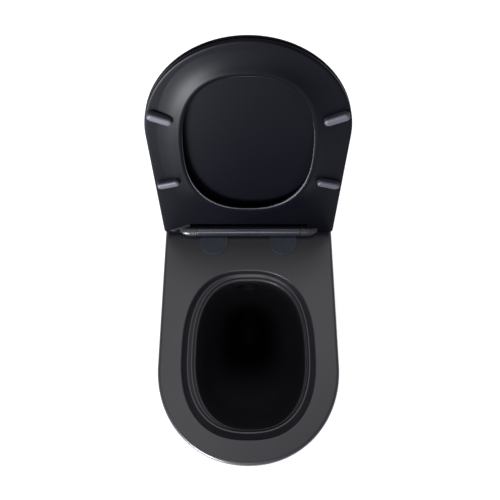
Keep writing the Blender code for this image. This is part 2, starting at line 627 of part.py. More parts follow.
def make_seat():
    levels = (
        (0.0040, SEAT_UNDER), (0.0012, -0.0018), (0.0, -0.0004), (0.0, 0.0030), (0.0008, 0.0043),
        (0.0022, SEAT_TOP), (0.030, 0.0044),
    )
    seat = loft("seat", slab_rings(levels, SEAT_REAR), SEAT_PLASTIC, HINGE_AT)
    # the underside swells towards the opening and ends in a thin lip
    collar = ((-0.012, -0.0096), (0.0015, -0.0095), (0.0040, -0.0090), (0.010, -0.0076), (0.020, -0.0052),
              (0.030, -0.0036), (0.040, -0.0028), (0.047, -0.0021), (0.036, 0.0005))
    boolean(seat, "UNION", loft("cut_seat_collar", opening_rings(collar), None, HINGE_AT))
    opening = ((0.0012, -0.020), (0.0012, -0.0100), (0.0004, -0.0093), (0.0, -0.0085), (0.0, -0.0070),
               (0.0006, -0.0040), (0.0020, 0.0), (0.0040, 0.0025), (0.0065, 0.0040), (0.0110, 0.0055),
               (0.0110, 0.020))
    boolean(seat, "DIFFERENCE", loft("cut_seat_opening", opening_rings(opening), None, HINGE_AT))

    reach = LID_LUG[1] + 0.0008
    notch = block("cut_seat_notch", (-reach, -NOTCH_AHEAD, -0.03), (reach, 0.03, 0.03), None, HINGE_AT)
    boolean(seat, "DIFFERENCE", notch)
    for side, word in ((1, "right"), (-1, "left")):
        near, far = SEAT_LUG
        dome = [(near, LUG_RADIUS)]
        for i in range(1, 8):
            share = i / 8
            dome.append((near + (far - near) * share, LUG_RADIUS * math.sqrt(1 - share**2)))
        dome.append((far, 0.0012))
        lug = turned(f"cut_seat_lug_{word}", [(side * d, r) for d, r in dome], None, HINGE_AT, "X", 32)
        hole = BORE_RADIUS if side == 1 else BUSH_HOLE
        boolean(seat, "UNION", lug)
        boolean(seat, "DIFFERENCE", axle_cut(f"cut_seat_bore_{word}", side * 0.120, side * 0.1390, hole, 20))
        for x, ahead, turn in BUMPERS:
            pocket_levels = ((-0.0003, -0.02), (-0.0003, -0.0020))
            pocket = capsule_rings(side * x, ahead, side * turn, pocket_levels)
            place = "front" if ahead > 0.25 else "rear"
            boolean(seat, "DIFFERENCE", loft(f"cut_pocket_{place}_{word}", pocket, None, HINGE_AT))
            solid_levels = ((0.0, -0.0023), (0.0, -0.0104), (0.0009, -0.0121), (0.0024, -0.0132), (0.0047, -0.0137))
            bumper = loft(
                f"seat_bumper_{place}_{word}", capsule_rings(side * x, ahead, side * turn, solid_levels), RUBBER,
                HINGE_AT,
            )
            opened(bumper)
    opened(seat)
    opened(turned("seat_shaft", [(0.0915, SHAFT_RADIUS), (0.1380, SHAFT_RADIUS)], STEEL, HINGE_AT, "X"))
    opened(tube("seat_bush", -0.1380, -0.1252, BUSH_RADIUS, BORE_RADIUS, NYLON, HINGE_AT, "X"))


def make_lid():
    levels = (
        (0.045, 0.0098), (0.020, 0.0088), (0.010, LID_UNDER), (0.0020, LID_UNDER), (0.0, 0.0086),
        (0.0, 0.0112), (0.0010, 0.0130), (0.0032, LID_TOP), (0.020, 0.0150), (0.060, 0.0160),
    )
    lid = loft("lid", slab_rings(levels, LID_REAR), SEAT_PLASTIC, HINGE_AT)
    reach = SEAT_LUG[1] + 0.0015
    boolean(lid, "DIFFERENCE", axle_cut("cut_lid_axle", -reach, reach, SWEEP_RADIUS))
    near, far = LID_LUG
    for side, word in ((1, "right"), (-1, "left")):
        ring = turned(f"cut_lid_lug_{word}", [(side * near, LUG_RADIUS), (side * far, LUG_RADIUS)], None, HINGE_AT,
                      "X", 32)
        web_near, web_far = side * (near + 0.0004), side * (far - 0.0004)
        low = (min(web_near, web_far), -0.0090, 0.0010)
        high = (max(web_near, web_far), 0.0065, 0.0125)
        web = block(f"cut_web_{word}", low, high, None, HINGE_AT)
        hole = BUSH_HOLE if side == 1 else BORE_RADIUS
        boolean(lid, "UNION", ring, web)
        boolean(lid, "DIFFERENCE", axle_cut(f"cut_lid_bore_{word}", side * 0.105, side * 0.130, hole, 20))
        for x, ahead in BUFFERS:
            place = "front" if ahead > 0.3 else "side"
            at = Vector(HINGE_AT) + Vector((side * x, -ahead, 0))
            seat_for_it = turned(f"cut_buffer_{place}_{word}", [(0.0, 0.0063), (0.0112, 0.0063)], None, at)
            boolean(lid, "DIFFERENCE", seat_for_it)
            profile = [(0.0054 - 0.0, 0.0048), (0.0062, 0.0060), (0.0109, 0.0060)]
            pad = turned(f"lid_buffer_{place}_{word}", profile, RUBBER, HINGE_AT, steps=16)
            pad.data.transform(Matrix.Translation((side * x, -ahead, 0)))
            opened(pad)
    opened(lid)
    opened(turned("lid_shaft", [(-0.1380, SHAFT_RADIUS), (-0.0915, SHAFT_RADIUS)], STEEL, HINGE_AT, "X"))
    opened(tube("lid_bush", 0.1119, 0.1240, BUSH_RADIUS, BORE_RADIUS, NYLON, HINGE_AT, "X"))


def turn_cutters_with(names):
    """Cutters of a turned piece turn with it."""
    for name in names:
        for modifier in bpy.data.objects[name].modifiers:
            cutter = modifier.object
            offset = cutter.location - Vector(HINGE_AT)
            cutter.data.transform(Matrix.Translation(offset))
            cutter.location = HINGE_AT
            opened(cutter)


make_pan()
make_water_ways()
make_floor_fixings()
make_seat_fixings()
make_hinge_bar()
make_release()
make_button_spring()
make_dampers()
make_seat()
make_lid()
turn_cutters_with(("seat", "lid"))
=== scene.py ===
"""Looks for a matt black back-to-wall toilet pan, its soft close seat and lid raised."""

from __future__ import annotations

import json
import logging
import math
from dataclasses import dataclass, field
from enum import Enum
from typing import Callable, Sequence
import bmesh
import bpy
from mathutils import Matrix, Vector


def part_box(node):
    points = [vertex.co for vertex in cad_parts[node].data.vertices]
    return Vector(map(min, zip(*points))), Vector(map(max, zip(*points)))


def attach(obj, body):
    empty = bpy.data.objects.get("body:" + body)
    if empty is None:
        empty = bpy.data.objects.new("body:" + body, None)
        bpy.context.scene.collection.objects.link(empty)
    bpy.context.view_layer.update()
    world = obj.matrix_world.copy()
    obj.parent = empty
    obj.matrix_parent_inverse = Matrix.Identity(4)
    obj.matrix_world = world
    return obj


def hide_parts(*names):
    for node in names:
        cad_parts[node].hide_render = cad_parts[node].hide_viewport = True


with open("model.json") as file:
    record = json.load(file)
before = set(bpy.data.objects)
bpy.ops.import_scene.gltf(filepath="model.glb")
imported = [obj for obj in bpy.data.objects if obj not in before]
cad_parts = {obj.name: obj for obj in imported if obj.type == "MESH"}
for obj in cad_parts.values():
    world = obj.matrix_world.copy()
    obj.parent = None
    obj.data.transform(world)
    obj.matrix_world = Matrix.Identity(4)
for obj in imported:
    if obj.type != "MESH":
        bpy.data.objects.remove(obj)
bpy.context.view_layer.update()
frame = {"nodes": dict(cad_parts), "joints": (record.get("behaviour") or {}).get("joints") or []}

LOG = logging.getLogger("toilet")
Piece = bpy.types.Object
Material = bpy.types.Material
Colour = tuple[float, float, float]
Pairs = Sequence[tuple[float, float]]
Rows = Sequence[tuple[float, ...]]
Placer = Callable[[float, float, float], Vector]
Outline = list[tuple[float, float]]
Ring = list[Vector]


# Where things are


class Side(Enum):
    """The two ends of the hinge, as signs along X."""

    LEFT = -1
    RIGHT = 1

    @property
    def word(self) -> str:
        """The side's name in node names."""
        return self.name.lower()


@dataclass(frozen=True)
class HingeLine:
    """The axis that seat and lid turn on, read from the lid's joint."""

    y: float
    z: float
    open_angle: float

    @classmethod
    def from_frame(cls) -> "HingeLine":
        """Finds the axis.

        Returns:
            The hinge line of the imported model.
        """
        joint = next(j for j in frame["joints"] if j["name"] == "lid_hinge")
        _, y, z = joint["pos_m"]
        return cls(y, z, math.radians(abs(joint["range_deg"][0])))

    def fixed(self, x: float, ahead: float, z: float) -> Vector:
        """Places a point of the fixed parts.

        Args:
            x: Distance from the middle.
            ahead: Distance in front of the hinge axis.
            z: Height over the floor.

        Returns:
            The point in the frame.
        """
        return Vector((x, self.y - ahead, z))

    def raised(self, x: float, ahead: float, up: float) -> Vector:
        """Places a point of the raised seat or lid.

        Args:
            x: Distance from the middle.
            ahead: Distance in front of the axis with the seat closed.
            up: Height over the axis with the seat closed.

        Returns:
            The point in the frame, turned open.
        """
        cosine, sine = math.cos(self.open_angle), math.sin(self.open_angle)
        return Vector((x, self.y - ahead * cosine + up * sine, self.z + ahead * sine + up * cosine))


HINGE = HingeLine.from_frame()
RIM_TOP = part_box("pan")[1][2]
WALL_BEHIND = HINGE.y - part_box("pan")[1][1]  # ahead of the axis, so below zero
SEAT_OPENING = (0.1178, 0.0868, 0.24, 0.416)  # half width, near end, widest place and far end


# Outlines


def superellipse(value: float, power: float) -> float:
    """Bends a cosine or sine for a superellipse.

    Args:
        value: The cosine or sine.
        power: The curve's power, 2 for an ellipse.

    Returns:
        The bent value, its sign kept.
    """
    return math.copysign(abs(value) ** (2 / power), value)


@dataclass(frozen=True)
class DShape:
    """A straight rear edge with small corners, parallel sides and a rounded front."""

    half: float
    widest: float
    front: float
    rear: float
    power: float = 2.0
    corner: float = 0.006
    front_steps: int = 96
    side_steps: int = 10
    corner_steps: int = 6

    def points(self, inset: float = 0.0) -> Outline:
        """Draws the outline.

        Args:
            inset: Distance that the whole outline moves inwards.

        Returns:
            Points (x, ahead), from the right rear corner over the front to the left one.
        """
        half, front, rear = self.half - inset, self.front - inset, self.rear + inset
        corner = max(0.0005, self.corner - inset * 0.4)
        right: Outline = []
        for i in range(self.corner_steps + 1):
            angle = -math.pi / 2 + math.pi / 2 * i / self.corner_steps
            x, ahead = half - corner + corner * math.cos(angle), rear + corner + corner * math.sin(angle)
            right.append((x, ahead))
        start = rear + corner
        for i in range(1, self.side_steps):
            right.append((half, start + (self.widest - start) * i / self.side_steps))
        arc: Outline = []
        for i in range(self.front_steps + 1):
            angle = math.pi * i / self.front_steps
            ahead = self.widest + (front - self.widest) * superellipse(math.sin(angle), self.power)
            arc.append((half * superellipse(math.cos(angle), self.power), ahead))
        left = [(-x, ahead) for x, ahead in reversed(right)]
        return right + arc + left


@dataclass(frozen=True)
class EggShape:
    """A closed egg whose ends are halves of two superellipses."""

    half: float
    back: float
    widest: float
    front: float
    shift: float = 0.0
    back_power: float = 2.6
    front_power: float = 2.45
    steps: int = 144

    def points(self, grow: float = 0.0) -> Outline:
        """Draws the outline.

        Args:
            grow: Distance that the whole outline moves outwards.

        Returns:
            Points (x, ahead), anticlockwise from the right.
        """
        half, back, front = self.half + grow, self.back - grow, self.front + grow
        outline: Outline = []
        for i in range(self.steps):
            angle = 2 * math.pi * i / self.steps
            ahead_half = math.sin(angle) >= 0
            power = self.front_power if ahead_half else self.back_power
            reach = front - self.widest if ahead_half else self.widest - back
            x = half * superellipse(math.cos(angle), power)
            outline.append((x + self.shift, self.widest + reach * superellipse(math.sin(angle), power)))
        return outline


def smoothed(rows: Rows, parts: int) -> list[tuple[float, ...]]:
    """Adds rows between the rows of a table, on a curve through all of them.

    Args:
        rows: The table.
        parts: How many steps each gap is divided into.

    Returns:
        The finer table.
    """
    fine: list[tuple[float, ...]] = []
    for k in range(len(rows) - 1):
        near = (rows[max(k - 1, 0)], rows[k], rows[k + 1], rows[min(k + 2, len(rows) - 1)])
        for i in range(parts):
            t = i / parts
            weights = (-0.5 * t + t * t - 0.5 * t**3, 1 - 2.5 * t * t + 1.5 * t**3,
                       0.5 * t + 2 * t * t - 1.5 * t**3, -0.5 * t * t + 0.5 * t**3)
            fine.append(tuple(sum(w * v for w, v in zip(weights, column)) for column in zip(*near)))
    fine.append(tuple(rows[-1]))
    return fine


# Bench: modelling by hand-like operators


class Bench:
    """Makes and joins meshes with the modelling operators."""

    @staticmethod
    def clear() -> None:
        """Leaves edit mode and deselects everything."""
        if bpy.context.object and bpy.context.object.mode != "OBJECT":
            bpy.ops.object.mode_set(mode="OBJECT")
        bpy.ops.object.select_all(action="DESELECT")

    @staticmethod
    def only(piece: Piece) -> None:
        """Selects one object and makes it the active one."""
        Bench.clear()
        piece.select_set(True)
        bpy.context.view_layer.objects.active = piece

    @staticmethod
    def loft(name: str, rings: Sequence[Ring]) -> Piece:
        """Extrudes a filled circle from ring to ring.

        Args:
            name: The new object's name.
            rings: Rings of equally many points.

        Returns:
            A closed object at the origin, its faces pointing outwards.
        """
        Bench.clear()
        bpy.ops.mesh.primitive_circle_add(vertices=len(rings[0]), fill_type="NGON", location=(0, 0, 0))
        piece = bpy.context.object
        piece.name = piece.data.name = name
        for vertex, point in zip(piece.data.vertices, rings[0]):
            vertex.co = point
        bpy.ops.object.mode_set(mode="EDIT")
        bpy.ops.mesh.select_mode(type="FACE")
        bpy.ops.mesh.select_all(action="SELECT")
        order = list(range(len(rings[0])))
        for ring in rings[1:]:
            bpy.ops.mesh.extrude_region_move()
            drawn = bmesh.from_edit_mesh(piece.data)
            drawn.verts.ensure_lookup_table()
            drawn.verts.index_update()
            risen = []
            for index, point in zip(order, ring):
                new = next(e.other_vert(drawn.verts[index]) for e in drawn.verts[index].link_edges
                           if e.other_vert(drawn.verts[index]).select and not drawn.verts[index].select)
                new.co = point
                risen.append(new.index)
            order = risen
            bmesh.update_edit_mesh(piece.data)
        bpy.ops.mesh.select_all(action="SELECT")
        bpy.ops.mesh.normals_make_consistent(inside=False)
        bpy.ops.object.mode_set(mode="OBJECT")
        return piece

    @staticmethod
    def turned(name: str, profile: Pairs, place: Placer, steps: int = 64) -> Piece:
        """Makes a round solid from its profile.

        Args:
            name: The new object's name.
            profile: Pairs of distance along the axis and radius.
            place: Turns (along, across, across) into a point of the frame.
            steps: Sides of the circle.

        Returns:
            A closed object at the origin.
        """
        rings = []
        for along, radius in profile:
            angles = [2 * math.pi * i / steps for i in range(steps)]
            rings.append([place(along, radius * math.cos(a), radius * math.sin(a)) for a in angles])
        return Bench.loft(name, rings)

    @staticmethod
    def upright(name: str, profile: Pairs, x: float, ahead: float, steps: int = 32) -> Piece:
        """Makes a round solid standing at a place, from pairs of height and radius."""
        return Bench.turned(name, profile, lambda d, a, b: HINGE.fixed(x + a, ahead + b, d), steps)

    @staticmethod
    def brick(name: str, low: Sequence[float], high: Sequence[float], place: Placer) -> Piece:
        """Makes a block.

        Args:
            name: The new object's name.
            low: Its lowest corner.
            high: Its highest corner.
            place: Turns a corner into a point of the frame.

        Returns:
            A closed object at the origin.
        """
        corners = ((low[0], low[1]), (high[0], low[1]), (high[0], high[1]), (low[0], high[1]))
        return Bench.loft(name, [[place(x, a, b) for x, a in corners] for b in (low[2], high[2])])

    @staticmethod
    def cut(piece: Piece, tool: Piece) -> None:
        """Cuts a tool body out of a piece."""
        Bench.boolean(piece, "DIFFERENCE", tool)

    @staticmethod
    def join(piece: Piece, tool: Piece) -> None:
        """Joins a tool body to a piece."""
        Bench.boolean(piece, "UNION", tool)

    @staticmethod
    def boolean(piece: Piece, operation: str, tool: Piece) -> None:
        """Cuts or joins with a tool body and uses it up."""
        Bench.only(piece)
        modifier = piece.modifiers.new(tool.name, "BOOLEAN")
        modifier.operation, modifier.object, modifier.solver = operation, tool, "EXACT"
        bpy.ops.object.modifier_apply(modifier=modifier.name)
        bpy.data.objects.remove(tool)

    @staticmethod
    def smooth(piece: Piece, angle: float = 30) -> None:
        """Shades the piece smooth, leaving edges over an angle sharp."""
        Bench.only(piece)
        bpy.ops.object.shade_smooth_by_angle(angle=math.radians(angle))
        modifier = piece.modifiers.new("weigh_normals", "WEIGHTED_NORMAL")
        modifier.keep_sharp = True
        bpy.ops.object.modifier_apply(modifier=modifier.name)


# Shader graph


class Socket:
    """An output socket whose arithmetic adds Math nodes."""

    def __init__(self, graph: "Graph", output: bpy.types.NodeSocket) -> None:
        """Keeps the graph and the output."""
        self.graph, self.output = graph, output

    def _math(self, operation: str, first: "Socket | float", second: "Socket | float") -> "Socket":
        """Adds one Math node and returns its result."""
        return self.graph.node("ShaderNodeMath", {"operation": operation}, {0: first, 1: second})

    def __add__(self, other: "Socket | float") -> "Socket":
        """Adds."""
        return self._math("ADD", self, other)

    __radd__ = __add__

    def __sub__(self, other: "Socket | float") -> "Socket":
        """Subtracts."""
        return self._math("SUBTRACT", self, other)

    def __rsub__(self, other: "Socket | float") -> "Socket":
        """Subtracts from a number."""
        return self._math("SUBTRACT", other, self)

    def __mul__(self, other: "Socket | float") -> "Socket":
        """Multiplies."""
        return self._math("MULTIPLY", self, other)

    __rmul__ = __mul__

    def __pow__(self, other: "Socket | float") -> "Socket":
        """Raises to a power."""
        return self._math("POWER", self, other)


class Graph:
    """One material's node tree."""

    def __init__(self, name: str) -> None:
        """Starts an empty material."""
        self.material = bpy.data.materials.new(name)
        self.material.use_nodes = True
        self.tree = self.material.node_tree
        self.tree.nodes.clear()

    def node(
        self, kind: str, settings: dict | None = None, inputs: dict | None = None, output: int | str = 0
    ) -> Socket:
        """Adds a node.

        Args:
            kind: The node's type.
            settings: Properties of the node.
            inputs: Values or sockets by input name or number.
            output: The output that is returned.

        Returns:
            The chosen output.
        """
        made = self.tree.nodes.new(kind)
        for key, value in (settings or {}).items():
            setattr(made, key, value)
        for key, value in (inputs or {}).items():
            if isinstance(value, Socket):
                self.tree.links.new(value.output, made.inputs[key])
            else:
                made.inputs[key].default_value = value
        return Socket(self, made.outputs[output])

    def place(self) -> Socket:
        """The surface's own coordinates."""
        return self.node("ShaderNodeTexCoord", output="Object")

    def noise(self, scale: float, detail: float, stretch: Sequence[float] = (1, 1, 1)) -> Socket:
        """Adds a noise pattern.

        Args:
            scale: How fine the pattern is, per metre.
            detail: Its octaves.
            stretch: Scale along each axis.

        Returns:
            The pattern's value, about 0.5 on average.
        """
        where = self.node("ShaderNodeMapping", {}, {"Vector": self.place(), "Scale": stretch})
        return self.node("ShaderNodeTexNoise", {}, {"Vector": where, "Scale": scale, "Detail": detail})

    def mix(self, share: Socket, first: tuple | Socket, second: tuple) -> Socket:
        """Mixes two colours by a share of the second."""
        ends = [end if isinstance(end, Socket) else (*end, 1) for end in (first, second)]
        return self.node("ShaderNodeMix", {"data_type": "RGBA"}, {0: share, 6: ends[0], 7: ends[1]}, 2)

    def bump(self, height: Socket, distance: float) -> Socket:
        """Turns a height pattern into a normal."""
        return self.node("ShaderNodeBump", {}, {"Distance": distance, "Height": height})

    def along(self, axis: str) -> Socket:
        """The surface's place along one axis of the frame."""
        return self.node("ShaderNodeSeparateXYZ", {}, {0: self.place()}, axis)

    def ramp(self, value: Socket, low: float, high: float) -> Socket:
        """Maps a value to 0 at low and 1 at high, and holds it there beyond them."""
        return self.node("ShaderNodeMapRange", {}, {0: value, "From Min": low, "From Max": high})

    def near_axis(self, radius: float, reach: float) -> Socket:
        """Marks what lies close around the hinge axis.

        Args:
            radius: Distance from the axis.
            reach: Distance from the middle, along the axis.

        Returns:
            1 inside and 0 outside.
        """
        across, up = self.along("Y") - HINGE.y, self.along("Z") - HINGE.z
        distance = (across * across + up * up) ** 0.5
        end = self.node("ShaderNodeMath", {"operation": "ABSOLUTE"}, {0: self.along("X")})
        inside = self.ramp(distance, radius + 0.0001, radius - 0.0001)
        return inside * self.ramp(end, reach + 0.0002, reach)

    def near_upright(self, ahead: float, inner: float, outer: float) -> Socket:
        """Marks what lies close around an upright line in front of the hinge.

        Args:
            ahead: The line's distance in front of the hinge axis.
            inner: Distance from the line up to which the mark is whole.
            outer: Distance from the line where it ends.

        Returns:
            1 near the line and 0 far from it.
        """
        side, deep = self.along("X") * 1.3, self.along("Y") - (HINGE.y - ahead)
        return self.ramp((side * side + deep * deep) ** 0.5, outer, inner)

    def opening_highlight_band(self, half: float, back: float, widest: float, front: float, power: float) -> Socket:
        """Marks a thin band round the raised seat's opening, where a highlight is painted.

        Args:
            half: Half of the opening's width.
            back: Its near end, ahead of the axis.
            widest: Its widest place, ahead of the axis.
            front: Its far end, ahead of the axis.
            power: The power of its curve.

        Returns:
            1 on the edge and 0 away from it.
        """
        cosine, sine = math.cos(HINGE.open_angle), math.sin(HINGE.open_angle)
        past = (self.along("Z") - HINGE.z) * sine - (self.along("Y") - HINGE.y) * cosine - widest
        up = (self.along("Z") - HINGE.z) * cosine + (self.along("Y") - HINGE.y) * sine
        end = self.node("ShaderNodeMath", {"operation": "MAXIMUM"},
                        {0: past * (1 / (front - widest)), 1: past * (-1 / (widest - back))})
        side = self.node("ShaderNodeMath", {"operation": "ABSOLUTE"}, {0: self.along("X") * (1 / half)})
        ring = side**power + end**power
        return self.ramp(ring, 1.018, 1.012) * self.ramp(up, -0.0066, -0.0072)

    def shader(self, **inputs: object) -> Socket:
        """Adds a Principled shader.

        Args:
            **inputs: The shader's sockets, with _ for each space.

        Returns:
            The shader.
        """
        values = {key.replace("_", " "): value for key, value in inputs.items()}
        return self.node("ShaderNodeBsdfPrincipled", {}, values)

    def finish(self, **inputs: object) -> Material:
        """Ends the graph in one Principled shader, given its sockets, and returns the material."""
        return self.surface(self.shader(**inputs))

    def blend(self, share: Socket, first: Socket, second: Socket) -> Material:
        """Ends the graph in two shaders mixed by a share of the second, and returns the material."""
        return self.surface(self.node("ShaderNodeMixShader", {}, {0: share, 1: first, 2: second}))

    def surface(self, shader: Socket) -> Material:
        """Links a shader to the surface output and returns the material."""
        made = self.tree.nodes.new("ShaderNodeOutputMaterial")
        self.tree.links.new(shader.output, made.inputs["Surface"])
        return self.material


# Finishes


@dataclass(frozen=True)
class MattGlaze:
    """Fired matt black glaze: a soft skin with a faint orange peel; down in the sump it turns near black
    and dull, as painted shade.
    """

    colour: Colour = (0.0092, 0.0087, 0.0116)
    clouded: Colour = (0.012, 0.0113, 0.0146)
    roughness: float = 0.36
    peel_depth: float = 0.00004
    # sump, middle and reach bound the painted shade in the sump: full below the lower height, gone above
    # the higher, and only near an upright line at middle ahead of the hinge.
    sump: tuple[float, float] = (0.12, 0.24)
    middle: float = 0.2
    reach: tuple[float, float] = (0.15, 0.185)

    def material(self, name: str) -> Material:
        """Builds the material under a name."""
        graph = Graph(name)
        clouds = graph.noise(9.0, 4.0)
        grain = graph.noise(2600.0, 2.0)
        peel = graph.noise(420.0, 2.0)
        normal = graph.bump(peel * 0.7 + grain * 0.3, self.peel_depth)
        glazed = graph.shader(
            Base_Color=graph.mix(clouds * 0.8 + grain * 0.2, self.colour, self.clouded),
            Roughness=self.roughness - 0.05 + clouds * 0.08 + grain * 0.03,
            Normal=normal,
        )
        # Painted shade: a near black, low gloss shader that stands in for the shadow down in the sump.
        dull = graph.shader(
            Base_Color=graph.mix(clouds, (0.0008, 0.0008, 0.0009), (0.0014, 0.0013, 0.0015)),
            Roughness=0.62 + grain * 0.05,
            Specular_IOR_Level=0.08,
            Normal=normal,
        )
        # Mask of the painted sump shade: low in the bowl and close to its middle.
        low = graph.ramp(graph.along("Z"), *reversed(self.sump))
        low = low * graph.near_upright(self.middle, *self.reach)
        return graph.blend(low, glazed, dull)


@dataclass(frozen=True)
class SeatResin:
    """Pressed matt resin of the seat and lid: finer, a shade bluer, with a silky sheen, and a painted
    highlight along the seat opening's edge.
    """

    colour: Colour = (0.0008, 0.0009, 0.0018)
    lighter: Colour = (0.0013, 0.0014, 0.0025)
    # The light grey lip colour below is a painted highlight along the seat opening's edge.
    lip_highlight_colour: Colour = (0.05, 0.05, 0.058)
    roughness: float = 0.36
    gleam: float = 0.05
    # lip: the opening's size and the power of its curve, which place the painted highlight band.
    lip: tuple[float, ...] = (*SEAT_OPENING, 2.43)
    lug_zone: tuple[float, float] = (0.0119, 0.148)

    def material(self, name: str) -> Material:
        """Builds the material under a name."""
        graph = Graph(name)
        clouds = graph.noise(7.0, 3.0)
        grain = graph.noise(3200.0, 2.0)
        normal = graph.bump(grain, 0.000015)
        resin = graph.mix(clouds, self.colour, self.lighter)
        flat = graph.shader(
            # Painted highlight: the band round the opening takes the light grey lip colour.
            Base_Color=graph.mix(graph.opening_highlight_band(*self.lip), resin, self.lip_highlight_colour),
            Roughness=self.roughness - 0.03 + clouds * 0.05 + grain * 0.03,
            Specular_IOR_Level=self.gleam,
            Normal=normal,
        )
        lugs = graph.shader(
            Base_Color=graph.mix(grain, (0.0105, 0.011, 0.014), (0.0135, 0.0145, 0.018)),
            Roughness=0.32 + grain * 0.04,
            Specular_IOR_Level=0.42,
            Normal=normal,
        )
        return graph.blend(graph.near_axis(*self.lug_zone), flat, lugs)


@dataclass(frozen=True)
class SatinPlastic:
    """Injection moulded satin plastic with a spark-eroded grain."""

    colour: Colour
    roughness: float = 0.34
    grain_depth: float = 0.00002

    def material(self, name: str) -> Material:
        """Builds the material under a name."""
        graph = Graph(name)
        grain = graph.noise(2400.0, 3.0)
        flow = graph.noise(26.0, 2.0, (0.3, 1, 1))
        lighter = tuple(min(1.0, c * 1.25) for c in self.colour)
        return graph.finish(
            Base_Color=graph.mix(flow, self.colour, lighter),
            Roughness=self.roughness + flow * 0.06 + grain * 0.04,
            Normal=graph.bump(grain, self.grain_depth),
        )


@dataclass(frozen=True)
class CoatedDisc:
    """A slate lacquer over a spun metal cover."""

    colour: Colour = (0.02, 0.024, 0.034)
    roughness: float = 0.34

    def material(self, name: str) -> Material:
        """Builds the material under a name."""
        graph = Graph(name)
        grain = graph.noise(1900.0, 3.0)
        wear = graph.noise(60.0, 4.0)
        return graph.finish(
            Base_Color=graph.mix(wear, self.colour, (0.028, 0.033, 0.045)),
            Metallic=0.35,
            Roughness=self.roughness + wear * 0.08,
            Normal=graph.bump(grain, 0.00002),
        )


@dataclass(frozen=True)
class Rubber:
    """Moulded black rubber, dull, with a powdery bloom."""

    colour: Colour = (0.019, 0.0194, 0.0255)
    bloom: Colour = (0.028, 0.0285, 0.036)
    roughness: float = 0.46

    def material(self, name: str) -> Material:
        """Builds the material under a name."""
        graph = Graph(name)
        bloom = graph.noise(130.0, 4.0)
        grain = graph.noise(2800.0, 2.0)
        return graph.finish(
            Base_Color=graph.mix(bloom, self.colour, self.bloom),
            Roughness=self.roughness + bloom * 0.12,
            Specular_IOR_Level=0.28,
            Normal=graph.bump(grain, 0.00004),
        )


@dataclass(frozen=True)
class ZincSteel:
    """Zinc plated steel with rolling marks and a cloudy passivation."""

    colour: Colour = (0.58, 0.58, 0.56)
    yellowed: Colour = (0.5, 0.48, 0.42)

    def material(self, name: str) -> Material:
        """Builds the material under a name."""
        graph = Graph(name)
        clouds = graph.noise(160.0, 4.0)
        marks = graph.noise(900.0, 3.0, (1, 1, 0.08))
        return graph.finish(
            Base_Color=graph.mix(clouds, self.colour, self.yellowed),
            Metallic=1.0,
            Roughness=0.26 + clouds * 0.12 + marks * 0.08,
            Normal=graph.bump(marks, 0.00002),
        )


# Sub-assemblies


class Assembly:
    """A group of pieces on one or more bodies."""

    @staticmethod
    def keep(piece: Piece, body: str, node: str, finish: object) -> None:
        """Dresses a new piece and puts it on its body in place of a node.

        Args:
            piece: The new piece.
            body: The body that it rides on.
            node: The node that it stands for.
            finish: The finish that it takes.
        """
        piece.data.materials.clear()
        piece.data.materials.append(finish.material(f"{node}_looks"))
        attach(piece, body)
        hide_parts(node)
        LOG.info("%s rides on %s: %d faces", piece.name, body, len(piece.data.polygons))

    @staticmethod
    def dress(node: str, finish: object) -> None:
        """Gives a carried node its finish."""
        piece = frame["nodes"][node]
        material = finish.material(f"{node}_looks")
        if not piece.data.materials:
            piece.data.materials.append(material)
        for slot in piece.material_slots:
            slot.material = material
        LOG.info("%s keeps its shape and gets its finish", node)


